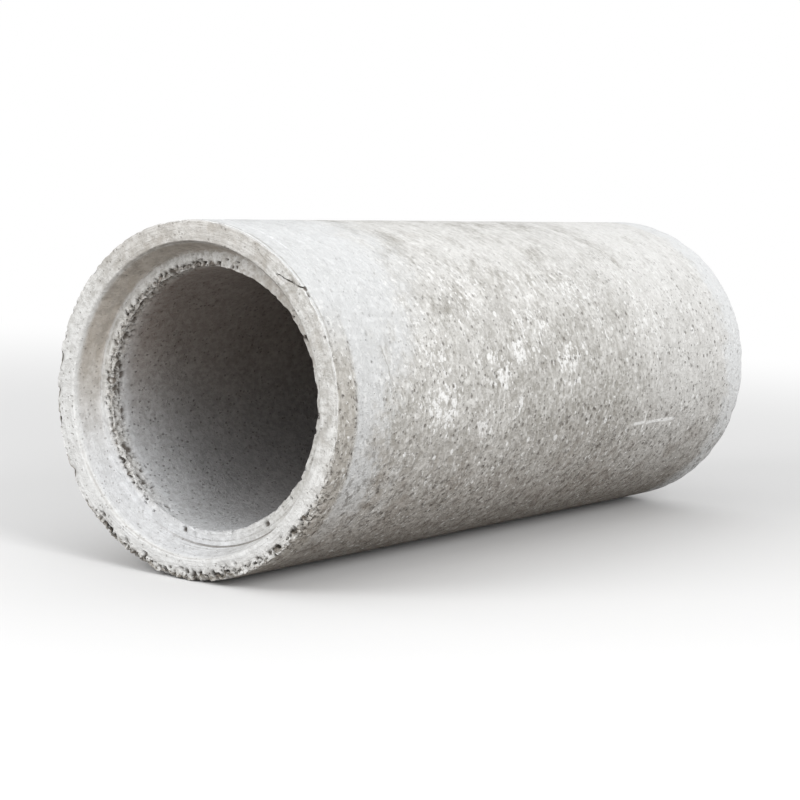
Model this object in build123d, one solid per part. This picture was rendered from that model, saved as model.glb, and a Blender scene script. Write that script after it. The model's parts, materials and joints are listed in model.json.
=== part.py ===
from build123d import *
import os

# Concrete sewer pipe with a rebated joint, cast in one piece, lying on its barrel.
# The axis runs along Y: the groove end is at -Y and the tongue end at +Y.
# The origin is on the floor, under the middle of the whole length.

# Barrel, in millimetres
bore_diameter = 300.0
wall_thickness = 55.0
laid_length = 1000.0  # from the groove end's rim to the shoulder at the tongue end

# Joint: the tongue of one pipe enters the groove of the next
rim_width = 26.0  # flat face outside the groove's mouth
ledge_width = 19.0  # flat step at the groove's foot, out from the bore
groove_depth = 35.0
joint_clearance = 4.0  # all round the tongue, for mortar
joint_end_gap = 5.0  # from the tongue's tip to the ledge of the next pipe

# Arrises, as radii where the mould is rounded and as widths where it is bevelled
rim_arris = 2.0
mouth_arris = 2.5
bore_arris = 4.0
shoulder_arris = 5.0
tongue_bevel = 3.0

# Fine line round the barrel where the end ring of the mould met its side
ring_line_width = 2.4
ring_line_depth = 1.2

bore_radius = bore_diameter / 2
outer_radius = bore_radius + wall_thickness
mouth_radius = outer_radius - rim_width
ledge_radius = bore_radius + ledge_width

# The tongue keeps the groove's taper, one clearance inside it
tongue_length = groove_depth - joint_end_gap
groove_taper = (mouth_radius - ledge_radius) / groove_depth
tongue_root_radius = mouth_radius - joint_clearance
tongue_tip_radius = tongue_root_radius - groove_taper * tongue_length
total_length = laid_length + tongue_length

# Corners of the wall's half section: X is the radius, Y the distance from the rim
rim_outside = (outer_radius, 0)
rim_inside = (mouth_radius, 0)
groove_foot = (ledge_radius, groove_depth)
ledge_inside = (bore_radius, groove_depth)
tip_inside = (bore_radius, total_length)
tip_outside = (tongue_tip_radius, total_length)
tongue_root = (tongue_root_radius, laid_length)
shoulder_outside = (outer_radius, laid_length)

rounded_corners = {
    rim_outside: rim_arris,
    rim_inside: mouth_arris,
    ledge_inside: bore_arris,
    shoulder_outside: shoulder_arris,
}
bevelled_corners = {
    tip_inside: tongue_bevel,
    tip_outside: tongue_bevel,
}


def corner_of(section, point):
    return section.vertices().sort_by_distance(Vector(*point))[0]


def half_section():
    """The wall cut through on one side of the axis."""
    section = make_face(
        Polyline(
            rim_outside,
            rim_inside,
            groove_foot,
            ledge_inside,
            tip_inside,
            tip_outside,
            tongue_root,
            shoulder_outside,
            close=True,
        )
    )
    for point, radius in rounded_corners.items():
        section = fillet(corner_of(section, point), radius)
    for point, width in bevelled_corners.items():
        section = chamfer(corner_of(section, point), width)
    return section


def ring_line():
    """V-shaped notch in the outline, level with the groove's foot."""
    return make_face(
        Polyline(
            (outer_radius - ring_line_depth, groove_depth),
            (outer_radius + ring_line_depth, groove_depth - ring_line_width),
            (outer_radius + ring_line_depth, groove_depth + ring_line_width),
            close=True,
        )
    )


pipe = revolve(half_section() - ring_line(), axis=Axis.Y)
pipe = Pos(0, -total_length / 2, outer_radius) * pipe
pipe.label = "pipe"

os.makedirs("parts", exist_ok=True)
export_step(pipe, "parts/pipe.step")
print("overall length", total_length, "outer diameter", 2 * outer_radius)
print("tongue root radius", tongue_root_radius, "tip radius", round(tongue_tip_radius, 2))
print("volume in litres", round(pipe.volume / 1e6, 2))
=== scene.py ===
import json
import math
import random
import bpy
import bmesh
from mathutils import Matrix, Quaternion, Vector, noise


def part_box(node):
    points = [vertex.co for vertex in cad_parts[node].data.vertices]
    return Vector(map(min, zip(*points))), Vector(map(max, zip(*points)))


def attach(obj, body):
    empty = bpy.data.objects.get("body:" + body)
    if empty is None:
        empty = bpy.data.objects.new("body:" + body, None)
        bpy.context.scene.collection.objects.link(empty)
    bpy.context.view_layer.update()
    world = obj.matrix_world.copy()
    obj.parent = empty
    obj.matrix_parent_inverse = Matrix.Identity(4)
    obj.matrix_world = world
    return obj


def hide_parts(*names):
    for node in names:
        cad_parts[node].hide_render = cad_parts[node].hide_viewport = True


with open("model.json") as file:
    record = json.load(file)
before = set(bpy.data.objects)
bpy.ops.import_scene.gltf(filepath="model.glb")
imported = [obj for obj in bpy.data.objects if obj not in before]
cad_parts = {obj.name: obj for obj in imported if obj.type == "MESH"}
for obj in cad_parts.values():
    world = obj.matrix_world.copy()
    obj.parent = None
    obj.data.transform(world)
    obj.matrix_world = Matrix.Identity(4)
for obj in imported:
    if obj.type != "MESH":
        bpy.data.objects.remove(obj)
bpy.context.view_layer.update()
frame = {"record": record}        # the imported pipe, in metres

print("frame loaded")


# Sizes that the frame gives

mountDims = {m["name"]: m["dims"] for m in frame["record"]["mounts"]}
lowCorner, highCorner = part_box("pipe")
axisHeight = (lowCorner[2] + highCorner[2]) / 2
outerRadius = (highCorner[2] - lowCorner[2]) / 2
rimY = lowCorner[1]
pipeLength = highCorner[1] - lowCorner[1]
boreRadius = mountDims["main_bore"]["r_mm"] / 1000
mouthRadius = mountDims["groove_joint"]["r_mm"] / 1000
grooveDepth = mountDims["groove_joint"]["length_mm"] / 1000
tongueRadius = mountDims["tongue_joint"]["r_mm"] / 1000
tongueLength = mountDims["tongue_joint"]["length_mm"] / 1000
shoulderAt = pipeLength - tongueLength


def intoScene(name, data):
    made = bpy.data.objects.new(name, data)
    bpy.context.collection.objects.link(made)
    return made


def meshObject(bm, name):
    mesh = bpy.data.meshes.new(name)
    bm.to_mesh(mesh)
    bm.free()
    return intoScene(name, mesh)


# Places on the pipe: clock angles are 0 on top and 90 on the right, seen from the groove end

def clockOf(co):
    return math.degrees(math.atan2(co.x, co.z - axisHeight)) % 360


def radiusOf(co):
    return math.hypot(co.x, co.z - axisHeight)


def behindRim(co):
    return co.y - rimY


def pointAt(clock, radius, behind):
    turn = math.radians(clock)
    return Vector((radius * math.sin(turn), rimY + behind, axisHeight + radius * math.cos(turn)))


def arcShare(clock, middle, half, soft=25.0):    # 1 within half of the middle, 0 past the soft edge
    away = abs((clock - middle + 180) % 360 - 180)
    return min(1.0, max(0.0, (half + soft - away) / soft))


def fade(value, start, end):     # 1 up to start, 0 from end
    return min(1.0, max(0.0, (end - value) / (end - start)))


def atLeast(least, share):       # from least, where the share is 0, up to 1
    return least + (1 - least) * share


# The pipe's mesh

pipe = {
    "stepsRound": 256,
    "ledgeWidth": 0.019,
    "ringLineWidth": 0.0024,
    "ringLineDepth": 0.0012,
    "mouthArris": 0.0025,
    "shoulderArris": 0.005,
    "tongueBevel": 0.003,
    "endRow": 0.005,              # height of the mesh rows near the ends
    "barrelRow": 0.016,
    "boreRow": 0.038,
    "tongueRow": 0.008,           # on the shoulder and along the tongue
    "stepRow": 0.006,             # on the groove's wall and the tongue's tip
    "ledgeRow": 0.0065,
    "barrelEnds": 0.02,           # length of the low rows at both ends of the barrel
    "boreStart": 0.045,           # and of those behind the ledge
    "waviness": 0.0007,
    "waveSize": 0.14,
    "grainDepth": 0.0004,
    "grainSize": 0.004,
    "grainReach": 0.06,           # how far behind the rim the mesh shows grain
    "divided": {                  # how near to an arris faces are divided: once, and once more
        "rim": 0.015, "barrelStart": 0.045, "shoulder": 0.010, "boreStart": 0.021,
        "arris": 0.005, "brokenRim": 0.013, "brokenBarrel": 0.018, "brokenBore": 0.017,
    },
    "crack": ((35.6, 0.1868), (38.3, 0.1912), (40.2, 0.1925), (43.2, 0.1972), (45.0, 0.1988),
              (46.8, 0.2031), (48.8, 0.2052)),    # clock angle, radius
    "crackZone": (30, 55),        # clock angles between which the rim is divided for it
    "crackWidth": 0.0012,
    "crackDepth": 0.004,
    "crackWander": 0.0008,
    "crackWanderSize": 0.003,
    "airHoles": ((0.0010, 230), (0.0014, 180), (0.0019, 100), (0.0025, 40)),    # radius, how many
    "airHoleShift": 0.003,        # most along the pipe, so that they don't stand in rows
    "airHoleStretch": (0.8, 1.25),
    "airHoleShade": 0.5,
    "arrisHighlightArc": (45, 85),       # where the outer arris has a painted highlight: clock angle of the middle, half width
    "seed": 11,
}

sameSpot = 0.00005                # vertices this near to each other are merged
sameRing = 0.0002                 # vertices this near to a ring belong to it
onSurface = 0.001                 # points this near to a face are on it
barrelSkin = 0.003                # points this far in are still the barrel's

ledgeRadius = boreRadius + pipe["ledgeWidth"]
grooveTaper = (mouthRadius - ledgeRadius) / grooveDepth
tipRadius = tongueRadius - grooveTaper * tongueLength


def outlineLegs():
    halfLine = pipe["ringLineWidth"] / 2
    endRow, tongueRow, stepRow = pipe["endRow"], pipe["tongueRow"], pipe["stepRow"]
    return [    # radius, distance behind the rim, row height up to the next corner
        (outerRadius, 0.0, endRow),
        (outerRadius, grooveDepth - halfLine, endRow),
        (outerRadius - pipe["ringLineDepth"], grooveDepth, endRow),
        (outerRadius, grooveDepth + halfLine, endRow),
        (outerRadius, grooveDepth + pipe["barrelEnds"], pipe["barrelRow"]),
        (outerRadius, shoulderAt - pipe["barrelEnds"], endRow),
        (outerRadius, shoulderAt, tongueRow),
        (tongueRadius, shoulderAt, tongueRow),
        (tipRadius, pipeLength, stepRow),
        (boreRadius, pipeLength, pipe["boreRow"]),
        (boreRadius, grooveDepth + pipe["boreStart"], endRow),
        (boreRadius, grooveDepth, pipe["ledgeRow"]),
        (ledgeRadius, grooveDepth, stepRow),
        (mouthRadius, 0.0, endRow),
    ]


def spinOutline(bm):
    legs = outlineLegs()
    loop = []
    for i, (radius, behind, row) in enumerate(legs):
        start = Vector((radius, rimY + behind, axisHeight))
        nextRadius, nextBehind, nextRow = legs[(i + 1) % len(legs)]
        end = Vector((nextRadius, rimY + nextBehind, axisHeight))
        rows = max(1, round((end - start).length / row))
        loop += [bm.verts.new(start.lerp(end, step / rows)) for step in range(rows)]
    for v, following in zip(loop, loop[1:] + loop[:1]):
        bm.edges.new((v, following))
    bmesh.ops.spin(bm, geom=bm.verts[:] + bm.edges[:], cent=(0, 0, axisHeight), axis=(0, 1, 0),
                   angle=math.tau, steps=pipe["stepsRound"], use_merge=True)
    bmesh.ops.remove_doubles(bm, verts=bm.verts[:], dist=sameSpot)
    bmesh.ops.recalc_face_normals(bm, faces=bm.faces[:])


def ringEdges(bm, radius, behind):
    def onRing(v):
        return abs(radiusOf(v.co) - radius) < sameRing and abs(behindRim(v.co) - behind) < sameRing
    return [e for e in bm.edges if onRing(e.verts[0]) and onRing(e.verts[1])]


def roundArrises(bm):
    for radius, behind, width, segments in (
        (mouthRadius, 0.0, pipe["mouthArris"], 3),
        (outerRadius, shoulderAt, pipe["shoulderArris"], 4),
        (tipRadius, pipeLength, pipe["tongueBevel"], 2),
        (boreRadius, pipeLength, pipe["tongueBevel"], 2),
    ):
        bmesh.ops.bevel(bm, geom=ringEdges(bm, radius, behind), offset=width, offset_type="OFFSET",
                        segments=segments, profile=0.5, affect="EDGES", material=-1)
    bmesh.ops.remove_doubles(bm, verts=bm.verts[:], dist=sameSpot)


breaks = {
    "farthest": 0.03,             # nothing is broken past it
    "toothReach": 0.0045,
    "nibbleReach": 0.009,
    "largeHoles": 0.95,           # share of the broken zone
    "smallHoles": 0.60,
    "smallDepth": 0.8,            # of a large hole's
    "leastRagged": 0.35,
    "outer": {                    # between rim and barrel
        "reach": 0.019,           # how far along the barrel it is broken
        "rimReach": (0.005, 0.019),   # least and most on the rim
        "rimArc": (176, 42),      # clock angle of the middle, half width
        "holeArc": (163, 52),
        "wornArc": (160, 105),    # no holes outside it
        "raggedArc": (212, 84),
        "elsewhere": 0.08,        # share of holes outside their arc
        "toothSize": 0.0078, "toothDepth": 0.0062,
        "nibbleSize": 0.019, "nibbleDepth": 0.0095,
        "stoneSize": 0.0085, "stoneDepth": 0.0028,
        "holeSize": 0.0085, "holeDepth": 0.0070,
        "chips": (                # clock angle, behind the rim, size
            (49.4, 0.0045, 0.0046), (123.5, 0.012, 0.0045), (121.5, 0.021, 0.0030),
        ),
    },
    "bore": {                     # between ledge and bore
        "reach": 0.026,
        "ledgeReach": 0.013,
        "holeArc": (290, 60),
        "elsewhere": 0.09,
        "toothSize": 0.0080, "toothDepth": 0.0045,
        "nibbleSize": 0.016, "nibbleDepth": 0.0070,
        "stoneSize": 0.0085, "stoneDepth": 0.0028,
        "holeSize": 0.0095, "holeDepth": 0.0065,
    },
    "far": (                      # at the shoulder: reach, size and depth of the nibbles and the teeth
        (0.012, 0.022, 0.0035), (0.006, 0.009, 0.0015),
    ),
    "ringLine": {
        "reach": 0.006, "holeArc": (108, 32), "share": 0.6, "holeSize": 0.005, "holeDepth": 0.002,
    },
}


def outerEdge(radius, behind):    # distance from the rim's outer arris
    return math.hypot(outerRadius - radius, behind)


def boreEdge(radius, behind):     # distance from the arris between ledge and bore
    return math.hypot(radius - boreRadius, behind - grooveDepth)


def farEdge(radius, behind):      # distance from the shoulder's arris
    return math.hypot(outerRadius - radius, behind - shoulderAt)


def nearEnd(co):
    radius, behind, near = radiusOf(co), behindRim(co), pipe["divided"]
    if behind < onSurface:
        return outerEdge(radius, behind) < near["rim"]
    if radius > outerRadius - barrelSkin:
        return behind < near["barrelStart"] or farEdge(radius, behind) < near["shoulder"]
    return boreEdge(radius, behind) < near["boreStart"]


def onBrokenEdge(co):
    radius, behind, clock, near = radiusOf(co), behindRim(co), clockOf(co), pipe["divided"]
    outer, inner = outerEdge(radius, behind), boreEdge(radius, behind)
    if outer < near["arris"] or inner < near["arris"]:
        return True
    if radius > mouthRadius and arcShare(clock, *breaks["outer"]["holeArc"]) > 0:
        return outer < near["brokenRim" if behind < onSurface else "brokenBarrel"]
    return inner < near["brokenBore"] and arcShare(clock, *breaks["bore"]["holeArc"]) > 0


def refine(bm, wanted):
    faces = {f for f in bm.faces if wanted(f.calc_center_median())}
    edges = [e for e in bm.edges if not faces.isdisjoint(e.link_faces)]
    bmesh.ops.subdivide_edges(bm, edges=edges, cuts=1, use_grid_fill=True)


def chance(point, salt):          # a repeatable number from 0 to 1 for a place
    mixed = math.sin(point.x * 12.9898 + point.y * 78.233 + point.z * 37.719 + salt) * 43758.5453
    return mixed - math.floor(mixed)


def wave(co, size):               # a slow swell from 0 to 1
    return 0.5 + 0.5 * noise.noise(co / size)


def holeAt(co, size, share, salt):     # 0 on sound concrete, up to 1 at the bottom of a hole
    distances, middles = noise.voronoi(co / size + Vector((salt, salt, salt)))
    if chance(middles[0], salt) > share:
        return 0.0
    reach = 0.35 + 0.30 * chance(middles[0], salt + 1)
    return max(0.0, 1 - (distances[0] / reach) ** 2)


def stoneAt(co, size, salt):           # 1 on top of a stone, 0 between the stones
    distance = noise.voronoi(co / size + Vector((salt, salt, salt)))[0][0]
    return max(0.0, 1 - (distance / 0.7) ** 2)


def edgeRelief(co, b, away, ragged, broken):    # depth, hollowness
    tooth = fade(away, 0.0, breaks["toothReach"]) * max(0.0, noise.noise(co / b["toothSize"]))
    swell = max(0.0, noise.noise(co / b["nibbleSize"]) - 0.1)
    nibble = fade(away, 0.0, breaks["nibbleReach"]) * swell
    between = 1 - stoneAt(co, b["stoneSize"], 1.7)
    large = holeAt(co, b["holeSize"], breaks["largeHoles"] * broken, 3.1)
    small = holeAt(co, b["holeSize"] / 2, breaks["smallHoles"] * broken, 5.7)
    hole = max(large, breaks["smallDepth"] * small)
    depth = ragged * (tooth * b["toothDepth"] + nibble * b["nibbleDepth"])
    depth += broken * between * b["stoneDepth"] + hole * b["holeDepth"]
    return depth, hole


def outerRelief(co, radius, behind, clock):    # depth, hollowness, share that is broken
    away = outerEdge(radius, behind)
    if away > breaks["farthest"]:
        return 0.0, 0.0, 0.0
    b = breaks["outer"]
    least, most = b["rimReach"]
    onRim = least + (most - least) * arcShare(clock, *b["rimArc"], 20)
    reach = b["reach"] if radius > outerRadius - onSurface else onRim
    broken = fade(away, reach * 0.35, reach * (0.65 + 0.45 * wave(co, 0.02)))
    broken *= atLeast(b["elsewhere"], arcShare(clock, *b["holeArc"])) * arcShare(clock, *b["wornArc"], 20)
    broken *= 1 - 0.45 * fade(wave(co, 0.03), 0.38, 0.58)
    ragged = atLeast(breaks["leastRagged"], arcShare(clock, *b["raggedArc"], 30))
    depth, hole = edgeRelief(co, b, away, ragged, broken)
    for atClock, atBehind, size in b["chips"]:
        chip = fade((co - pointAt(atClock, outerRadius, atBehind)).length, 0.3 * size, size)
        depth += chip * size
        hole = max(hole, chip)
    return depth, hole, broken


def boreRelief(co, radius, behind, clock):
    away = boreEdge(radius, behind)
    if away > breaks["farthest"]:
        return 0.0, 0.0, 0.0
    b = breaks["bore"]
    inArc = arcShare(clock, *b["holeArc"])
    reach = b["reach"] if radius < boreRadius + onSurface else b["ledgeReach"]
    broken = fade(away, reach * 0.5, reach * (0.75 + 0.35 * wave(co, 0.02)))
    broken *= atLeast(b["elsewhere"], inArc)
    depth, hole = edgeRelief(co, b, away, atLeast(breaks["leastRagged"], inArc), broken)
    return depth, hole, broken


def farRelief(co, radius, behind):
    away = farEdge(radius, behind)
    relief = 0.0
    for reach, size, depth in breaks["far"]:
        if away < reach:
            relief += fade(away, 0.0, reach) * depth * max(0.0, noise.noise(co / size))
    return relief


def ringLineRelief(co, radius, behind, clock):    # depth, hollowness
    away = abs(behind - grooveDepth)
    b = breaks["ringLine"]
    if radius < outerRadius - 0.002 or away > b["reach"]:
        return 0.0, 0.0
    share = b["share"] * fade(away, 0.001, b["reach"]) * arcShare(clock, *b["holeArc"])
    hole = holeAt(co, b["holeSize"], share, 2.2)
    return b["holeDepth"] * hole, 0.8 * hole


def sculpt(bm, hollowLayer, brokenLayer):
    bm.normal_update()
    places = []
    for v in bm.verts:
        co = v.co
        radius, behind, clock = radiusOf(co), behindRim(co), clockOf(co)
        depth = pipe["waviness"] * (wave(co, pipe["waveSize"]) + 0.4 * wave(co, pipe["waveSize"] / 5))
        outerDepth, outerHole, outerBroken = outerRelief(co, radius, behind, clock)
        boreDepth, boreHole, boreBroken = boreRelief(co, radius, behind, clock)
        lineDepth, lineHole = ringLineRelief(co, radius, behind, clock)
        if behind < pipe["grainReach"]:
            grain = wave(co, pipe["grainSize"]) + 0.6 * wave(co, pipe["grainSize"] / 2)
            depth += pipe["grainDepth"] * grain
        depth += outerDepth + boreDepth + lineDepth + farRelief(co, radius, behind)
        v[hollowLayer] = max(outerHole, boreHole, lineHole)
        v[brokenLayer] = max(outerBroken, boreBroken)
        places.append(co - v.normal * depth)
    for v, place in zip(bm.verts, places):
        v.co = place


def crackAway(co):                # distance from the crack across the rim
    points = [pointAt(clock, radius, behindRim(co)) for clock, radius in pipe["crack"]]
    nearest = 1.0
    for a, b in zip(points, points[1:]):
        along = min(1.0, max(0.0, (co - a).dot(b - a) / (b - a).length_squared))
        nearest = min(nearest, (a + (b - a) * along - co).length)
    return nearest


def onCrackedRim(co):
    start, end = pipe["crackZone"]
    return behindRim(co) < 0.005 and radiusOf(co) > mouthRadius - onSurface and start < clockOf(co) < end


def openCrack(bm, hollowLayer):
    for near in (0.005, 0.003, 0.0018):
        refine(bm, lambda co: onCrackedRim(co) and crackAway(co) < near)
    innerEnd = pipe["crack"][0][1]
    for v in bm.verts:
        if onCrackedRim(v.co):
            spot = v.co / pipe["crackWanderSize"]
            wander = Vector((noise.noise(spot), 0, noise.noise(spot + Vector((7, 7, 7)))))
            width = pipe["crackWidth"] * (0.55 + 0.45 * fade(radiusOf(v.co), outerRadius, innerEnd))
            gap = fade(crackAway(v.co + wander * pipe["crackWander"]), 0.2 * width, width)
            v.co.y += gap * pipe["crackDepth"]
            v[hollowLayer] = max(v[hollowLayer], gap)


def sinkAirHoles(bm, hollowLayer):
    rng = random.Random(pipe["seed"])

    def roomy(v):
        clear = grooveDepth + 0.022 < behindRim(v.co) < shoulderAt - 0.012
        return clear and radiusOf(v.co) > outerRadius - barrelSkin and len(v.link_edges) == 4
    spots = [v for v in bm.verts if roomy(v)]
    rng.shuffle(spots)
    taken = set()
    clearSpots = []
    for v in spots:
        around = {other for f in v.link_faces for other in f.verts}
        if not taken & around:
            clearSpots.append(v)
            taken |= around
    for radius, count in pipe["airHoles"]:
        chosen = [clearSpots.pop() for hole in range(count)]
        for v in chosen:
            v.co.y += rng.uniform(-pipe["airHoleShift"], pipe["airHoleShift"])
        made = bmesh.ops.bevel(bm, geom=chosen, offset=radius, offset_type="OFFSET", segments=2,
                               profile=0.5, affect="VERTICES", material=-1)
        floor = set(made["faces"])
        middles = [v for v in made["verts"] if floor.issuperset(v.link_faces)]
        for middle in middles:
            stretch = rng.uniform(*pipe["airHoleStretch"])
            for v in {v for f in middle.link_faces for v in f.verts} - {middle}:    # makes the outline round
                v.co = middle.co + (v.co - middle.co).normalized() * radius
                v.co.y += (v.co.y - middle.co.y) * (stretch - 1)
        bmesh.ops.inset_region(bm, faces=made["faces"], thickness=radius * 0.25, depth=-radius * 0.8)
        for v in {v for f in floor for v in f.verts}:
            v[hollowLayer] = pipe["airHoleShade"]
        for v in middles:
            v.co -= Vector((v.co.x, 0, v.co.z - axisHeight)).normalized() * radius * 0.5


barrelFinish, jointFinish, boreFinish = 0, 1, 2


def chooseFinishes(bm):
    for f in bm.faces:
        f.smooth = True
        co = f.calc_center_median()
        radius, behind = radiusOf(co), behindRim(co)
        if radius > outerRadius - 0.0016 and 0 < behind < shoulderAt - 0.0005:
            f.material_index = barrelFinish
        elif radius < boreRadius + 0.0005:
            f.material_index = boreFinish
        else:
            f.material_index = jointFinish


def buildPipe():
    bm = bmesh.new()
    hollowLayer = bm.verts.layers.float.new("hollow")
    brokenLayer = bm.verts.layers.float.new("broken")
    spinOutline(bm)
    roundArrises(bm)
    refine(bm, nearEnd)
    refine(bm, onBrokenEdge)
    chooseFinishes(bm)
    print("pipe divided into", len(bm.faces), "faces")
    sculpt(bm, hollowLayer, brokenLayer)
    openCrack(bm, hollowLayer)
    sinkAirHoles(bm, hollowLayer)
    shell = meshObject(bm, "pipe_shell")
    shell.data.set_sharp_from_angle(angle=math.radians(50))
    return shell


shell = buildPipe()
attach(shell, "root")
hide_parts("pipe")
print("pipe mesh made,", sum(len(f.vertices) - 2 for f in shell.data.polygons), "triangles")


# Node helpers

def feed(tree, made, feeds):
    for key, value in feeds.items():
        if isinstance(value, bpy.types.NodeSocket):
            tree.links.new(value, made.inputs[key])
        else:
            made.inputs[key].default_value = value


def put(tree, kind, feeds=None, **settings):
    made = tree.nodes.new("ShaderNode" + kind)
    for name, value in settings.items():
        setattr(made, name, value)
    feed(tree, made, feeds or {})
    return made


def calc(tree, operation, *parts):
    return put(tree, "Math", dict(enumerate(parts)), operation=operation).outputs[0]


def total(tree, *parts):          # each part is a value and its weight
    result = None
    for value, weight in parts:
        weighted = calc(tree, "MULTIPLY", value, weight)
        result = weighted if result is None else calc(tree, "ADD", result, weighted)
    return result


def product(tree, first, *others):
    for other in others:
        first = calc(tree, "MULTIPLY", first, other)
    return first


def highest(tree, first, *others):
    for other in others:
        first = calc(tree, "MAXIMUM", first, other)
    return first


def apart(tree, first, second):   # how far two values are from each other
    return calc(tree, "ABSOLUTE", calc(tree, "SUBTRACT", first, second))


def flatLength(tree, first, second):
    squares = calc(tree, "ADD", product(tree, first, first), product(tree, second, second))
    return calc(tree, "SQRT", squares)


def ramp(tree, value, start, end, low=0.0, high=1.0):     # eases from low at start to high at end
    feeds = {"Value": value, "From Min": start, "From Max": end, "To Min": low, "To Max": high}
    return put(tree, "MapRange", feeds, interpolation_type="SMOOTHSTEP").outputs[0]


def tint(tree, share, under, over):
    made = put(tree, "Mix", data_type="RGBA")
    feed(tree, made, {0: share, 6: under, 7: over})    # the colour inputs are the seventh and eighth
    return made.outputs[2]


def layer(tree, color, paint, amount, *masks):     # paint over a colour where all the masks let it
    return tint(tree, product(tree, *masks, amount), color, paint)


def cloud(tree, spot, size, detail=3.0, rough=0.55, distortion=0.0):
    feeds = {"Vector": spot, "Scale": 1 / size, "Detail": detail, "Roughness": rough,
             "Distortion": distortion}
    return put(tree, "TexNoise", feeds).outputs["Fac"]


def emptyTree(owner):
    owner.use_nodes = True
    owner.node_tree.nodes.clear()
    return owner.node_tree


def newGroup(name, inputs, outputs):
    tree = bpy.data.node_groups.new(name, "ShaderNodeTree")
    for label, value in inputs.items():
        kind = "Vector" if value is None else "Color" if isinstance(value, tuple) else "Float"
        socket = tree.interface.new_socket(label, in_out="INPUT", socket_type="NodeSocket" + kind)
        if value is not None:
            socket.default_value = value
    for label, kind in outputs.items():
        tree.interface.new_socket(label, in_out="OUTPUT", socket_type="NodeSocket" + kind)
    given = tree.nodes.new("NodeGroupInput").outputs
    wanted = tree.nodes.new("NodeGroupOutput").inputs
    return tree, given, wanted


def useGroup(tree, group, feeds):
    made = tree.nodes.new("ShaderNodeGroup")
    made.node_tree = group
    feed(tree, made, feeds)
    return made.outputs


# Effects that the finishes share

def makePlaceOnPipe():            # clock angle from -180 to 180, distance behind the rim, radius
    tree, given, wanted = newGroup("placeOnPipe", {"Spot": None},
                                   {"Clock": "Float", "Behind": "Float", "Radius": "Float"})
    axes = put(tree, "SeparateXYZ", {0: given["Spot"]}).outputs
    up = calc(tree, "SUBTRACT", axes["Z"], axisHeight)
    across = put(tree, "CombineXYZ", {"X": axes["X"], "Y": up}).outputs[0]
    tree.links.new(calc(tree, "DEGREES", calc(tree, "ARCTAN2", axes["X"], up)), wanted["Clock"])
    tree.links.new(calc(tree, "SUBTRACT", axes["Y"], rimY), wanted["Behind"])
    radius = put(tree, "VectorMath", {0: across}, operation="LENGTH").outputs["Value"]
    tree.links.new(radius, wanted["Radius"])
    return tree


def makeArcMask():                # 1 near a clock angle, 0 from the half width on
    tree, given, wanted = newGroup("arcMask", {"Clock": 0.0, "Middle": 0.0, "Half Width": 40.0},
                                   {"Mask": "Float"})
    away = calc(tree, "WRAP", calc(tree, "SUBTRACT", given["Clock"], given["Middle"]), 180.0, -180.0)
    share = calc(tree, "DIVIDE", calc(tree, "ABSOLUTE", away), given["Half Width"])
    tree.links.new(ramp(tree, share, 1.0, 0.3), wanted["Mask"])
    return tree


def makeConcreteTone():           # mottling from 0, dark, to 1, pale
    tree, given, wanted = newGroup("concreteTone", {"Spot": None, "Patches": 0.3, "Blots": 0.3, "Grain": 0.4},
                                   {"Tone": "Float", "Grain": "Float"})
    patches = ramp(tree, cloud(tree, given["Spot"], 0.15, 4, 0.6, 0.4), 0.30, 0.70, -0.5, 0.5)
    blots = ramp(tree, cloud(tree, given["Spot"], 0.022, 5, 0.7), 0.34, 0.66, -0.5, 0.5)
    grain = ramp(tree, cloud(tree, given["Spot"], 0.0085, 4, 0.72), 0.36, 0.64)
    fine = calc(tree, "SUBTRACT", grain, 0.5)
    tone = total(tree, (patches, given["Patches"]), (blots, given["Blots"]), (fine, given["Grain"]))
    tree.links.new(calc(tree, "ADD", tone, 0.5), wanted["Tone"])
    tree.links.new(grain, wanted["Grain"])
    return tree


def makeSpecks():                 # small round spots, 1 inside
    tree, given, wanted = newGroup("specks", {"Spot": None, "Size": 0.004, "Share": 0.4}, {"Speck": "Float"})
    scale = calc(tree, "DIVIDE", 1.0, given["Size"])
    cells = put(tree, "TexVoronoi", {"Vector": given["Spot"], "Scale": scale}, feature="F1").outputs
    draw = put(tree, "SeparateColor", {0: cells["Color"]}).outputs
    reach = calc(tree, "MULTIPLY_ADD", draw["Green"], 0.22, 0.14)
    spot = ramp(tree, cells["Distance"], reach, calc(tree, "MULTIPLY", reach, 0.45))
    picked = calc(tree, "LESS_THAN", draw["Red"], given["Share"])
    tree.links.new(calc(tree, "MULTIPLY", spot, picked), wanted["Speck"])
    return tree


def speckled(tree, spot, size, share):
    return useGroup(tree, specks, {"Spot": spot, "Size": size, "Share": share})["Speck"]


brokenLook = {
    "stoneDark": (0.33, 0.30, 0.26, 1),
    "stonePale": (0.76, 0.75, 0.72, 1),
    "stoneSize": 0.0060,
    "stones": 0.6,
    "pit": (0.135, 0.115, 0.095, 1),
    "pitSize": 0.0052,
    "pitShare": 0.75,
    "pits": 0.80,
    "hollow": (0.115, 0.097, 0.080, 1),
    "hollows": 0.88,
}


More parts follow.
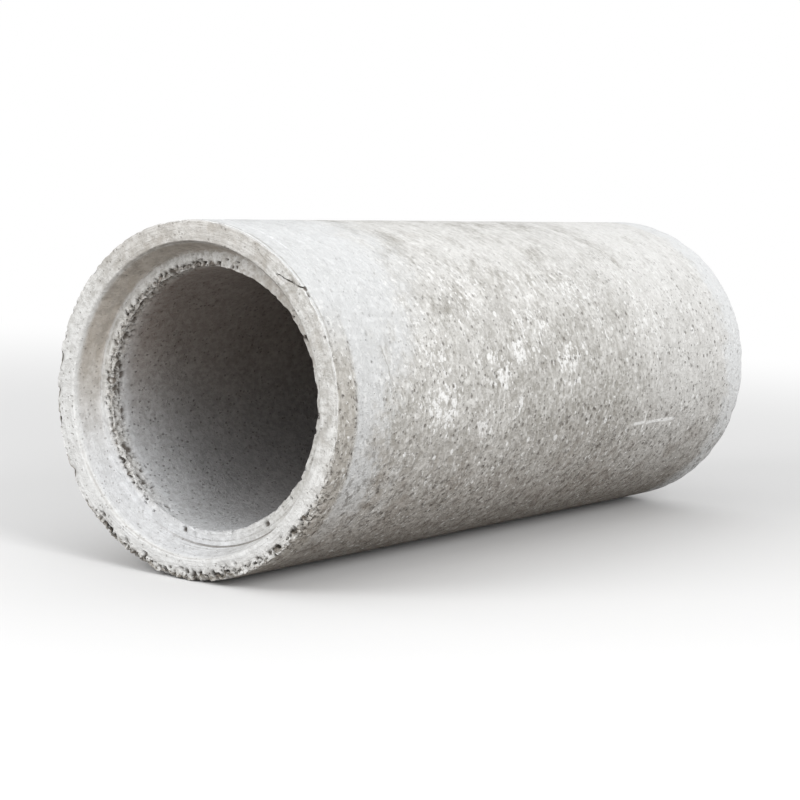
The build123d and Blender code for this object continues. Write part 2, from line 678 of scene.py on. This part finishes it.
def makeBrokenGrain():            # stones and shadows where the edge has broken away
    tree, given, wanted = newGroup("brokenGrain", {"Spot": None, "Color": (0.6, 0.58, 0.53, 1)},
                                   {"Color": "Color", "Pit": "Float"})
    look = brokenLook
    broken = put(tree, "Attribute", attribute_name="broken").outputs["Fac"]
    hollow = put(tree, "Attribute", attribute_name="hollow").outputs["Fac"]
    stones = ramp(tree, cloud(tree, given["Spot"], look["stoneSize"], 4, 0.7), 0.38, 0.60)
    salted = tint(tree, stones, look["stoneDark"], look["stonePale"])
    color = layer(tree, given["Color"], salted, look["stones"], broken)
    pits = speckled(tree, given["Spot"], look["pitSize"], look["pitShare"])
    pits = product(tree, pits, ramp(tree, broken, 0.15, 0.7))
    color = layer(tree, color, look["pit"], look["pits"], pits)
    color = tint(tree, ramp(tree, hollow, 0.15, 0.70, 0.0, look["hollows"]), color, look["hollow"])
    tree.links.new(color, wanted["Color"])
    tree.links.new(pits, wanted["Pit"])
    return tree


def makePatchAt():                # a soft round patch at one place on the barrel
    tree, given, wanted = newGroup(
        "patchAt",
        {"Clock": 0.0, "Behind": 0.0, "At Clock": 90.0, "At Behind": 0.3,
         "Half Clock": 5.0, "Half Behind": 0.02},
        {"Patch": "Float"})
    fromClock = calc(tree, "SUBTRACT", given["Clock"], given["At Clock"])
    fromBehind = calc(tree, "SUBTRACT", given["Behind"], given["At Behind"])
    around = calc(tree, "DIVIDE", fromClock, given["Half Clock"])
    along = calc(tree, "DIVIDE", fromBehind, given["Half Behind"])
    tree.links.new(ramp(tree, flatLength(tree, around, along), 1.0, 0.2), wanted["Patch"])
    return tree


placeOnPipe = makePlaceOnPipe()
arcMask = makeArcMask()
concreteTone = makeConcreteTone()
specks = makeSpecks()
brokenGrain = makeBrokenGrain()
patchAt = makePatchAt()


def newMaterial(name):
    material = bpy.data.materials.new(name)
    tree = emptyTree(material)
    spot = put(tree, "TexCoord").outputs["Object"]
    place = useGroup(tree, placeOnPipe, {"Spot": spot})
    return material, tree, spot, place


def arc(tree, place, span):       # the span is the clock angle of the middle and the half width
    middle, halfWidth = span
    feeds = {"Clock": place["Clock"], "Middle": middle, "Half Width": halfWidth}
    return useGroup(tree, arcMask, feeds)["Mask"]


def cornerLine(tree, place, radius, behind, width):    # 1 on a ring at this radius and depth
    fromRadius = calc(tree, "SUBTRACT", place["Radius"], radius)
    fromBehind = calc(tree, "SUBTRACT", place["Behind"], behind)
    return ramp(tree, flatLength(tree, fromRadius, fromBehind), width, width * 0.3)


def finishMaterial(tree, color, rough, height, depth):
    normal = put(tree, "Bump", {"Strength": 1.0, "Distance": depth, "Height": height}).outputs["Normal"]
    shader = put(tree, "BsdfPrincipled", {"Base Color": color, "Roughness": rough, "Normal": normal})
    shader.inputs["Specular IOR Level"].default_value = 0.25
    put(tree, "OutputMaterial", {"Surface": shader.outputs["BSDF"]})


# Barrel: mottled, whitest on top, with streaks of laitance, fine air holes and painted shade underneath

barrel = {
    "dark": (0.35, 0.335, 0.305, 1),
    "pale": (0.725, 0.715, 0.69, 1),
    "white": (0.93, 0.93, 0.92, 1),
    "bluish": (0.72, 0.74, 0.76, 1),
    "farPale": (0.81, 0.825, 0.835, 1),
    # colour of the painted shade under the barrel
    "underShade": (0.285, 0.245, 0.21, 1),
    "ringZone": (0.42, 0.39, 0.345, 1),
    "speck": (0.13, 0.115, 0.098, 1),
    "mottling": {"Patches": 0.30, "Blots": 0.44, "Grain": 0.64},
    "streakTurn": 14.0,           # degrees between the streaks and the ring direction
    "streakSize": 0.0050,
    "streakStretch": 2.8,
    "dabSize": 0.0078,
    "dabStretch": 1.25,
    "blotches": (                 # clock angle, behind the rim, half sizes, strength
        (90, 0.212, 12, 0.062, 1.0), (98, 0.297, 8, 0.024, 1.0), (82, 0.339, 8, 0.034, 1.0),
        (74, 0.382, 9, 0.036, 1.0), (75, 0.318, 6, 0.022, 0.8), (78, 0.498, 9, 0.046, 0.9),
        (92, 0.378, 4, 0.014, 1.0), (65, 0.432, 11, 0.060, 0.7), (48, 0.300, 14, 0.090, 0.5),
        (50, 0.560, 16, 0.100, 0.6), (102, 0.609, 4, 0.014, 0.9), (66, 0.740, 12, 0.070, 0.7),
    ),
    "looseSize": 0.0160,
    "dots": (0.0125, 0.60),       # size, share
    "pocks": (0.0140, 0.60),
    "fineHoles": 0.0060,
    "coarseHoles": (0.0095, 0.45),
    "arrisShade": 0.0066,               # painted shade: a fine dark line this far behind the rim, past the arris's painted highlight
    "scratch": (105.5, 0.747, 0.066),             # clock angle, behind the rim, half length
    "hairCrack": ((67.5, 0.0935), (79.5, 0.1035)),    # clock angle and behind the rim at its ends
    "amounts": {
        "underShade": 0.66, "topWhite": 0.50, "farWhite": 0.42, "bluish": 0.60, "farPale": 0.85,
        "ringZone": 0.55, "paleAndHighlight": 0.7, "arrisShade": 0.60, "lightStreaks": 0.48, "darkStreaks": 0.52,
        "whitePatches": 0.9, "looseFlecks": 0.8, "brownish": 0.45, "dots": 0.85, "pocks": 0.55,
        "rubbedPale": 0.30, "rubbedDark": 0.60, "holes": 0.65, "scratch": 0.8, "hairCrack": 0.6,
    },
    "bump": 0.0012,
}


# In what follows, side is the clock angle either way round, from 0 on top to 180 below

def brushed(tree, place, size, stretch, rough):     # noise drawn out along the streaks
    turn = math.radians(barrel["streakTurn"])
    around = calc(tree, "MULTIPLY", place["Clock"], math.radians(1) * outerRadius)
    along = total(tree, (around, math.cos(turn)), (place["Behind"], math.sin(turn)))
    across = total(tree, (around, -math.sin(turn)), (place["Behind"], math.cos(turn)))
    squeezed = calc(tree, "DIVIDE", along, stretch)
    flat = put(tree, "CombineXYZ", {"X": squeezed, "Y": across}).outputs[0]
    return cloud(tree, flat, size, 5, rough)


def streaks(tree, spot, place, side):
    found = brushed(tree, place, barrel["streakSize"], barrel["streakStretch"], 0.75)
    here = ramp(tree, cloud(tree, spot, 0.05, 2), 0.35, 0.65, 0.3, 1.0)
    where = product(tree, ramp(tree, side, 165, 110), here)
    light = product(tree, ramp(tree, found, 0.52, 0.64), where)
    dark = product(tree, ramp(tree, found, 0.46, 0.34), where)
    return light, dark


def blotch(tree, place, clock, behind, halfClock, halfBehind, strength):
    feeds = {"Clock": place["Clock"], "Behind": place["Behind"], "At Clock": clock, "At Behind": behind,
             "Half Clock": halfClock, "Half Behind": halfBehind}
    return calc(tree, "MULTIPLY", useGroup(tree, patchAt, feeds)["Patch"], strength)


def whitePatches(tree, spot, place, side):
    named = highest(tree, *(blotch(tree, place, *values) for values in barrel["blotches"]))
    named = product(tree, named, ramp(tree, cloud(tree, spot, 0.020, 3, 0.6), 0.32, 0.50))
    scattered = product(tree, ramp(tree, cloud(tree, spot, 0.08, 2), 0.48, 0.70), ramp(tree, side, 135, 95))
    where = calc(tree, "MAXIMUM", calc(tree, "MULTIPLY", scattered, 0.5), named)
    dabs = brushed(tree, place, barrel["dabSize"], barrel["dabStretch"], 0.70)
    found = ramp(tree, calc(tree, "MULTIPLY_ADD", where, 0.16, dabs), 0.595, 0.665)
    return product(tree, found, ramp(tree, side, 20, 55, 0.3, 1.0))


def looseFlecks(tree, spot, side):     # single ragged flecks between the patches
    crowded = ramp(tree, cloud(tree, spot, 0.05, 2), 0.42, 0.64, 0.08, 0.80)
    core = speckled(tree, spot, barrel["looseSize"], crowded)
    ragged = cloud(tree, spot, 0.0065, 3, 0.6)
    found = ramp(tree, total(tree, (core, 0.5), (ragged, 0.5)), 0.42, 0.53)
    return product(tree, found, ramp(tree, side, 28, 50), ramp(tree, side, 130, 108))


def scratchMark(tree, spot, place):    # a line along the barrel with a short tick across it
    atClock, atBehind, halfLength = barrel["scratch"]
    sideways = apart(tree, place["Clock"], atClock)
    lengthways = apart(tree, place["Behind"], atBehind)
    worn = ramp(tree, cloud(tree, spot, 0.010, 3), 0.34, 0.50, 0.2, 1.0)
    line = product(tree, ramp(tree, sideways, 0.9, 0.35),
                   ramp(tree, lengthways, halfLength, halfLength * 0.8))
    fromTick = apart(tree, place["Behind"], atBehind - halfLength * 0.45)
    tick = product(tree, ramp(tree, sideways, 6.0, 2.0), ramp(tree, fromTick, 0.0022, 0.0008))
    return product(tree, calc(tree, "MAXIMUM", line, tick), worn)


def hairCrack(tree, spot, place):      # a fine wandering line between two places
    (clock, behind), (endClock, endBehind) = barrel["hairCrack"]
    slope = (endBehind - behind) / (endClock - clock)
    wander = calc(tree, "MULTIPLY_ADD", cloud(tree, spot, 0.009, 2), 0.012, behind - 0.006)
    lineAt = calc(tree, "MULTIPLY_ADD", calc(tree, "SUBTRACT", place["Clock"], clock), slope, wander)
    fromMiddle = apart(tree, place["Clock"], (clock + endClock) / 2)
    ends = ramp(tree, fromMiddle, (endClock - clock) / 2, (endClock - clock) / 3)
    return product(tree, ends, ramp(tree, apart(tree, place["Behind"], lineAt), 0.0018, 0.0006))


def makeBarrelMaterial():
    material, tree, spot, place = newMaterial("concreteBarrel")
    look, amounts = barrel, barrel["amounts"]
    side = calc(tree, "ABSOLUTE", place["Clock"])
    tone = useGroup(tree, concreteTone, {"Spot": spot, **look["mottling"]})
    color = tint(tree, tone["Tone"], look["dark"], look["pale"])
    # painted shade: darker and warmer towards the bottom of the barrel
    color = tint(tree, ramp(tree, side, 85, 150, 0.0, amounts["underShade"]), color, look["underShade"])
    haze = cloud(tree, spot, 0.06, 5, 0.65, 0.6)
    color = layer(tree, color, look["white"], amounts["topWhite"],
                  ramp(tree, side, 95, 25), ramp(tree, haze, 0.30, 0.58))
    color = layer(tree, color, look["white"], amounts["farWhite"], ramp(tree, place["Behind"], 0.60, 0.82),
                  ramp(tree, side, 150, 95), ramp(tree, haze, 0.20, 0.50, 0.6, 1.0))

    # smooth zones near both ends, with a rippled border
    edge = ramp(tree, place["Clock"], 95, 35, 0.10, 0.215)
    ripple = calc(tree, "MULTIPLY_ADD", cloud(tree, spot, 0.045, 5, 0.75), 0.26, -0.13)
    rippled = calc(tree, "ADD", place["Behind"], ripple)
    inside = ramp(tree, rippled, calc(tree, "MULTIPLY", edge, 1.30), calc(tree, "MULTIPLY", edge, 0.60))
    pastLine = calc(tree, "MAXIMUM", ramp(tree, place["Behind"], 0.030, 0.042), ramp(tree, side, 78, 50))
    smooth = product(tree, inside, pastLine, ramp(tree, side, 145, 105))
    color = layer(tree, color, look["bluish"], amounts["bluish"], smooth)
    farEdgeAt = calc(tree, "MULTIPLY_ADD", ripple, 0.5, place["Behind"])
    farBand = ramp(tree, farEdgeAt, shoulderAt - 0.07, shoulderAt - 0.03)
    color = layer(tree, color, look["farPale"], amounts["farPale"], farBand)
    rough = calc(tree, "MULTIPLY_ADD", calc(tree, "MAXIMUM", smooth, farBand), -0.55, 1.0)

    # in front of the ring line
    color = layer(tree, color, look["ringZone"], amounts["ringZone"],
                  ramp(tree, place["Behind"], 0.042, 0.032), ramp(tree, side, 55, 90))
    # painted highlight along the outer arris, which the mesh doesn't bevel
    highlightArc = arc(tree, place, pipe["arrisHighlightArc"])
    color = layer(tree, color, look["white"], amounts["paleAndHighlight"],
                  ramp(tree, place["Behind"], 0.0038, 0.0018), highlightArc)
    # painted shade in a fine line behind the painted highlight
    fromArrisShade = apart(tree, place["Behind"], look["arrisShade"])
    color = layer(tree, color, look["dark"], amounts["arrisShade"], ramp(tree, fromArrisShade, 0.0020, 0.0006), highlightArc,
                  ramp(tree, cloud(tree, spot, 0.014, 3), 0.36, 0.52, 0.3, 1.0))

    # streaks and flecks, weaker where it is smooth
    light, dark = streaks(tree, spot, place, side)
    color = layer(tree, color, look["white"], amounts["lightStreaks"], light, rough)
    color = layer(tree, color, look["dark"], amounts["darkStreaks"], dark, rough)
    color = layer(tree, color, look["white"], amounts["whitePatches"],
                  whitePatches(tree, spot, place, side), rough)
    color = layer(tree, color, look["white"], amounts["looseFlecks"], looseFlecks(tree, spot, side), rough)

    # browner and coarser below half height; the brown patches are painted shade
    brownish = ramp(tree, cloud(tree, spot, 0.045, 4, 0.65), 0.47, 0.62)
    color = layer(tree, color, look["underShade"], amounts["brownish"], brownish, ramp(tree, side, 88, 125), rough)
    sides = ramp(tree, side, 75, 105)
    dots = speckled(tree, spot, *look["dots"])
    color = layer(tree, color, look["pale"], amounts["dots"], dots, sides, rough)
    pocks = product(tree, speckled(tree, spot, *look["pocks"]), sides, rough)
    color = layer(tree, color, look["speck"], amounts["pocks"], pocks)
    rubbed = cloud(tree, spot, 0.011, 4, 0.75)
    lower = ramp(tree, side, 85, 118)
    color = layer(tree, color, look["pale"], amounts["rubbedPale"], ramp(tree, rubbed, 0.46, 0.36), lower)
    color = layer(tree, color, look["speck"], amounts["rubbedDark"], ramp(tree, rubbed, 0.50, 0.62), lower)

    crowded = ramp(tree, cloud(tree, spot, 0.06, 3), 0.35, 0.65, 0.3, 1.0)
    fine = speckled(tree, spot, look["fineHoles"], crowded)
    coarse = speckled(tree, spot, *look["coarseHoles"])
    holes = calc(tree, "MAXIMUM", calc(tree, "MULTIPLY", fine, 0.7), coarse)
    holes = product(tree, holes, rough, ramp(tree, side, 10, 75, 0.25, 1.0))
    color = layer(tree, color, look["speck"], amounts["holes"], holes)
    color = layer(tree, color, look["white"], amounts["scratch"], scratchMark(tree, spot, place))
    color = layer(tree, color, look["dark"], amounts["hairCrack"], hairCrack(tree, spot, place))

    edges = useGroup(tree, brokenGrain, {"Spot": spot, "Color": color})
    roughness = ramp(tree, tone["Tone"], 0.0, 1.0, 0.96, 0.82)
    height = total(tree, (tone["Grain"], 0.55), (tone["Tone"], 0.30), (holes, -1.0), (light, 0.12),
                   (dots, 0.5), (pocks, -0.9), (edges["Pit"], -1.2))
    finishMaterial(tree, edges["Color"], roughness, height, look["bump"])
    return material


# Rim, groove and tongue: smoother cast faces with faint rings left by the mould

joint = {
    "dark": (0.46, 0.445, 0.415, 1),
    "pale": (0.86, 0.86, 0.845, 1),
    # pale colour that stands for dust and for painted light
    "dustAndLight": (0.86, 0.87, 0.875, 1),
    # white for the painted highlight on the outer arris and for the pale top of the ledge
    "paleAndHighlight": (0.91, 0.91, 0.90, 1),
    "bluish": (0.70, 0.722, 0.765, 1),
    "beigeAndShade": (0.43, 0.37, 0.305, 1),
    "stain": (0.38, 0.335, 0.285, 1),
    "line": (0.25, 0.225, 0.20, 1),
    "speck": (0.20, 0.18, 0.155, 1),
    "mottling": {"Patches": 0.25, "Blots": 0.45, "Grain": 0.64},
    "ringSize": 0.0030,
    "ringBend": 0.0115,           # how soon the faint rings fade out round the clock
    "rings": 0.18,
    "footLines": (                # radius past the groove's foot, distance before it, strength; the first is painted shade in the foot's corner, the others are faint rings
        (0.0, 0.0, 1.0), (-0.0065, 0.0, 0.40), (-0.0125, 0.0, 0.25),
        (0.0017, 0.006, 0.45), (0.0031, 0.011, 0.30), (0.0063, 0.022, 0.25),
    ),
    "lineWidth": 0.0016,
    "speckSize": 0.0048,
    "arcs": {                     # clock angle of the middle, half width
        "beigeAndShade": (-34, 96), "blots": (-30, 90), "bluish": (-152, 78), "dustAndLight": (-150, 130),
        "stains": (25, 120), "darkerRimTop": (-8, 50), "damp": (36, 50), "rubbed": (-12, 52),
        "footLines": (150, 66), "mouthShadeBelow": (-158, 62), "mouthShadeAbove": (15, 70),
        "ridge": (-75, 75), "specks": (-125, 85),
    },
    "amounts": {
        "beigeAndShade": 0.68, "blots": 0.40, "bluish": 0.5, "dustAndLight": 0.55, "stains": 0.28, "darkerRimTop": 0.30,
        "damp": 0.65, "rubbed": 0.75, "paleAndHighlight": 0.85, "mouthShadeBelow": 0.55, "lines": 0.8, "ridge": 0.5,
        "specks": 0.42,
    },
    "bump": 0.0010,
}


def faintRings(tree, place):
    turn = calc(tree, "RADIANS", place["Clock"])
    ringSpot = put(tree, "CombineXYZ", {
        "X": calc(tree, "ADD", place["Radius"], place["Behind"]),
        "Y": calc(tree, "MULTIPLY", calc(tree, "SINE", turn), joint["ringBend"]),
        "Z": calc(tree, "MULTIPLY", calc(tree, "COSINE", turn), joint["ringBend"])}).outputs[0]
    return ramp(tree, cloud(tree, ringSpot, joint["ringSize"], 3, 0.6), 0.34, 0.66)


def makeJointMaterial():
    material, tree, spot, place = newMaterial("concreteJointFaces")
    look, amounts = joint, joint["amounts"]
    arcs = {name: arc(tree, place, span) for name, span in look["arcs"].items()}
    tone = useGroup(tree, concreteTone, {"Spot": spot, **look["mottling"]})
    rings = faintRings(tree, place)
    level = total(tree, (tone["Tone"], 1 - look["rings"]), (rings, look["rings"]))
    color = tint(tree, level, look["dark"], look["pale"])
    inGroove = product(tree, ramp(tree, place["Radius"], mouthRadius, mouthRadius - 0.002),
                       ramp(tree, place["Radius"], boreRadius + 0.016, boreRadius + 0.020))
    # the groove's upper left: its own beige tint, darkened further as painted shade
    color = layer(tree, color, look["beigeAndShade"], amounts["beigeAndShade"], inGroove, arcs["beigeAndShade"])
    blotted = ramp(tree, cloud(tree, spot, 0.016, 4, 0.7), 0.46, 0.62)
    color = layer(tree, color, look["line"], amounts["blots"], inGroove, arcs["blots"], blotted)
    color = layer(tree, color, look["bluish"], amounts["bluish"], arcs["bluish"],
                  ramp(tree, place["Behind"], 0.002, 0.008))
    onRim = ramp(tree, place["Behind"], 0.012, 0.003)
    # paler rim round the lower left: partly dust, partly painted light
    color = layer(tree, color, look["dustAndLight"], amounts["dustAndLight"], arcs["dustAndLight"], onRim)
    stained = ramp(tree, cloud(tree, spot, 0.030, 4, 0.7), 0.50, 0.66)
    color = layer(tree, color, look["stain"], amounts["stains"], stained, arcs["stains"])
    # darker towards the top of the rim
    color = layer(tree, color, look["stain"], amounts["darkerRimTop"], onRim, arcs["darkerRimTop"])

    onLedge = cornerLine(tree, place, ledgeRadius - 0.009, grooveDepth, 0.015)
    color = layer(tree, color, look["stain"], amounts["damp"], onLedge, arcs["damp"],
                  ramp(tree, cloud(tree, spot, 0.012, 4, 0.7), 0.40, 0.60, 0.35, 1.0))
    # painted light: the top of the ledge made paler against the shade under the groove's ceiling
    color = layer(tree, color, look["paleAndHighlight"], amounts["rubbed"], onLedge, arcs["rubbed"],
                  ramp(tree, cloud(tree, spot, 0.0075, 4, 0.7), 0.44, 0.58))
    # painted highlight on the rim's side of the outer arris
    arris = cornerLine(tree, place, outerRadius - 0.0006, 0.0, 0.0031)
    color = layer(tree, color, look["paleAndHighlight"], amounts["paleAndHighlight"], arris, arc(tree, place, pipe["arrisHighlightArc"]))

    foot = highest(tree, *(
        product(tree, cornerLine(tree, place, ledgeRadius + outward, grooveDepth - before, look["lineWidth"]),
                arcs["footLines"], strength)
        for outward, before, strength in look["footLines"]))
    # painted shade: a dark line at the groove's mouth, where its wall falls into shadow
    mouthShade = cornerLine(tree, place, mouthRadius - 0.0005, 0.0015, 0.0028)
    below = product(tree, arcs["mouthShadeBelow"], amounts["mouthShadeBelow"])
    mouthShadeArc = calc(tree, "MAXIMUM", below, arcs["mouthShadeAbove"])
    worn = ramp(tree, cloud(tree, spot, 0.012, 3), 0.36, 0.56, 0.4, 1.0)
    # the foot lines and the painted shade at the mouth, in one dark colour
    lines = calc(tree, "MAXIMUM", foot, product(tree, mouthShade, mouthShadeArc, worn))
    color = layer(tree, color, look["line"], amounts["lines"], lines)
    ridge = cornerLine(tree, place, ledgeRadius - 0.001, grooveDepth, 0.0026)
    color = layer(tree, color, look["dustAndLight"], amounts["ridge"], ridge, arcs["ridge"], worn)

    crowded = calc(tree, "MULTIPLY_ADD", arcs["specks"], 0.40, 0.30)
    holes = speckled(tree, spot, look["speckSize"], crowded)
    color = layer(tree, color, look["speck"], amounts["specks"], holes)
    edges = useGroup(tree, brokenGrain, {"Spot": spot, "Color": color})
    height = total(tree, (tone["Grain"], 0.65), (rings, 0.40), (holes, -0.6), (lines, -0.8),
                   (edges["Pit"], -1.4))
    finishMaterial(tree, edges["Color"], ramp(tree, level, 0.0, 1.0, 0.92, 0.80), height, look["bump"])
    return material


# Bore: darker, smooth and evenly pitted, with a pale start that is partly dust and partly painted light

bore = {
    "dark": (0.205, 0.186, 0.170, 1),
    "mid": (0.51, 0.487, 0.462, 1),
    "brown": (0.325, 0.258, 0.222, 1),
    "cool": (0.42, 0.43, 0.46, 1),
    "dustAndLight": (0.66, 0.675, 0.69, 1),
    "speck": (0.085, 0.073, 0.062, 1),
    "mottling": {"Patches": 0.20, "Blots": 0.22, "Grain": 0.54},
    "draw": (1.35, 0.85, 1.35),   # grain finer than the barrel's and drawn out along the bore
    "fineHoles": (0.0065, 0.75),  # size, share
    "coarseHoles": (0.0110, 0.30),
    "arcs": {"brown": (-15, 120), "cool": (-160, 85), "dustAndLight": (-178, 118), "start": (-120, 90)},
    "amounts": {"brown": 0.5, "cool": 0.45, "dustAndLight": 0.95, "start": 0.7, "specks": 0.48},
    "bump": 0.0010,
}


def makeBoreMaterial():
    material, tree, spot, place = newMaterial("concreteBore")
    look, amounts = bore, bore["amounts"]
    arcs = {name: arc(tree, place, span) for name, span in look["arcs"].items()}
    drawn = put(tree, "VectorMath", {0: spot, 1: look["draw"]}, operation="MULTIPLY").outputs[0]
    tone = useGroup(tree, concreteTone, {"Spot": drawn, **look["mottling"]})
    color = tint(tree, tone["Tone"], look["dark"], look["mid"])
    color = layer(tree, color, look["brown"], amounts["brown"], arcs["brown"])
    color = layer(tree, color, look["cool"], amounts["cool"], arcs["cool"])
    grainy = ramp(tree, tone["Tone"], 0.0, 0.9, 0.5, 1.0)
    # paler towards the mouth on the lower side: painted light falling into the bore, with dust
    color = layer(tree, color, look["dustAndLight"], amounts["dustAndLight"], arcs["dustAndLight"],
                  ramp(tree, place["Behind"], 0.28, 0.035), grainy)
    # palest just inside the mouth: painted light, with dust
    color = layer(tree, color, look["dustAndLight"], amounts["start"], ramp(tree, place["Behind"], 0.080, 0.045),
                  arcs["start"], grainy)
    fine = speckled(tree, drawn, *look["fineHoles"])
    coarse = speckled(tree, drawn, *look["coarseHoles"])
    holes = calc(tree, "MAXIMUM", fine, calc(tree, "MULTIPLY", coarse, 0.6))
    color = layer(tree, color, look["speck"], amounts["specks"], holes)
    edges = useGroup(tree, brokenGrain, {"Spot": spot, "Color": color})
    height = total(tree, (tone["Grain"], 0.55), (holes, -1.0), (edges["Pit"], -1.4))
    roughness = ramp(tree, tone["Tone"], 0.0, 1.0, 0.92, 0.78)
    finishMaterial(tree, edges["Color"], roughness, height, look["bump"])
    return material


for finish in (makeBarrelMaterial(), makeJointMaterial(), makeBoreMaterial()):
    shell.data.materials.append(finish)
print("finishes made")


# Studio: a pale floor that turns white away from the pipe, and soft lamps

studio = {
    "floorRadius": 30.0,
    "floorColor": (0.80, 0.80, 0.80, 1),
    "bounceColor": (0.34, 0.33, 0.32, 1),    # what the floor throws back at the pipe
    "whiteFrom": 0.9,
    "whiteFull": 3.2,
    "skyLevel": 0.78,
    "lamps": {                    # place, size, watts
        "side": ((3.1, -1.3, 1.75), 1.8, 68),
        "front": ((-0.9, -3.3, 1.9), 1.8, 49),
    },
    "aim": (0.0, -0.1, 0.2),
}


def buildFloor():
    bm = bmesh.new()
    bmesh.ops.create_circle(bm, cap_ends=True, segments=96, radius=studio["floorRadius"])
    floor = meshObject(bm, "floor")
    material = bpy.data.materials.new("studioFloor")
    tree = emptyTree(material)
    spot = put(tree, "TexCoord").outputs["Object"]
    away = put(tree, "VectorMath", {0: spot}, operation="LENGTH").outputs["Value"]
    byCamera = put(tree, "LightPath").outputs["Is Camera Ray"]
    shade = tint(tree, byCamera, studio["bounceColor"], studio["floorColor"])
    paint = put(tree, "BsdfPrincipled", {"Base Color": shade, "Roughness": 0.9}).outputs["BSDF"]
    white = put(tree, "Emission", {"Color": (1, 1, 1, 1), "Strength": 1.0}).outputs["Emission"]
    share = product(tree, ramp(tree, away, studio["whiteFrom"], studio["whiteFull"]), byCamera)
    blend = put(tree, "MixShader", {0: share, 1: paint, 2: white}).outputs[0]
    put(tree, "OutputMaterial", {"Surface": blend})
    floor.data.materials.append(material)


def buildSky():
    world = bpy.data.worlds.new("studioSky")
    bpy.context.scene.world = world
    tree = emptyTree(world)
    byCamera = put(tree, "LightPath").outputs["Is Camera Ray"]
    level = ramp(tree, byCamera, 0.0, 1.0, studio["skyLevel"], 1.0)
    sky = put(tree, "Background", {"Color": (1, 1, 1, 1), "Strength": level}).outputs["Background"]
    put(tree, "OutputWorld", {"Surface": sky})


def addLamp(name, place, size, watts):
    light = bpy.data.lights.new(name, "AREA")
    light.shape = "DISK"
    light.size = size
    light.energy = watts
    lamp = intoScene(name, light)
    lamp.location = place
    sight = Vector(studio["aim"]) - Vector(place)
    lamp.rotation_euler = sight.to_track_quat("-Z", "Y").to_euler()


buildFloor()
buildSky()
for name, (place, size, watts) in studio["lamps"].items():
    addLamp(name, place, size, watts)
print("studio set")


# Camera at the photograph's viewing angle

camera = {
    "fromRim": (1.557, -1.877, 0.2835),    # from the middle of the rim
    "aim": (0.0, -0.096, 0.1796),
    "lens": 97.67,
    "roll": 2.86,                          # degrees
}


def addCamera():
    lens = bpy.data.cameras.new("view")
    lens.lens = camera["lens"]
    view = intoScene("view", lens)
    view.location = Vector((0, rimY, axisHeight)) + Vector(camera["fromRim"])
    sight = Vector(camera["aim"]) - view.location
    turned = sight.to_track_quat("-Z", "Y") @ Quaternion((0, 0, 1), math.radians(camera["roll"]))
    view.rotation_euler = turned.to_euler()
    bpy.context.scene.camera = view


addCamera()
bpy.context.scene.view_settings.view_transform = "Standard"

print("ready")
